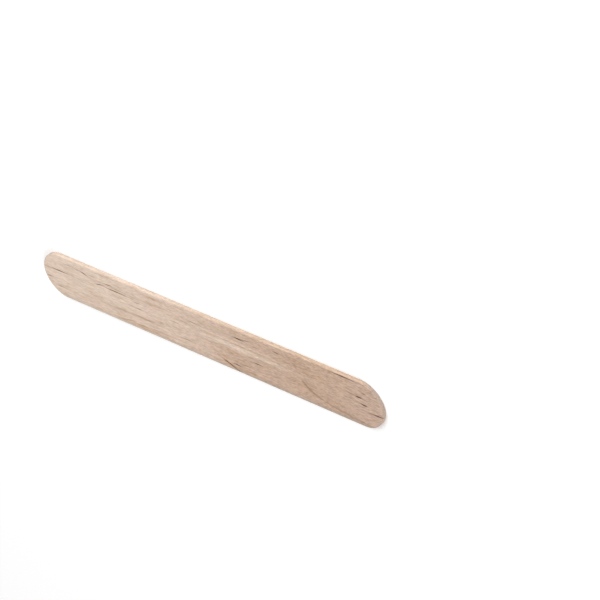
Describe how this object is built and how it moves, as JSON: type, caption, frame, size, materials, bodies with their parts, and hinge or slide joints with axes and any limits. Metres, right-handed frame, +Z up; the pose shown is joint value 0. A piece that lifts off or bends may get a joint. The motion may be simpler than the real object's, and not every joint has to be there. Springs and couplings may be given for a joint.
{
  "type": "tongue depressor",
  "caption": "Flat wooden stick with full-round ends, cut from birch veneer, for pressing down the tongue to look at the throat.",
  "frame": {"origin": "middle of the underside, on the surface that the stick lies on", "axes": "+X along the length, +Y across the width, +Z up through the thickness"},
  "size_m": [0.15, 0.018, 0.0016],
  "materials": {
    "birch_veneer": "unfinished tumbled birch veneer, matt, with fine pores along the grain"
  },
  "bodies": {
    "root": {"tongue_depressor": "birch_veneer"}
  },
  "joints": []
}
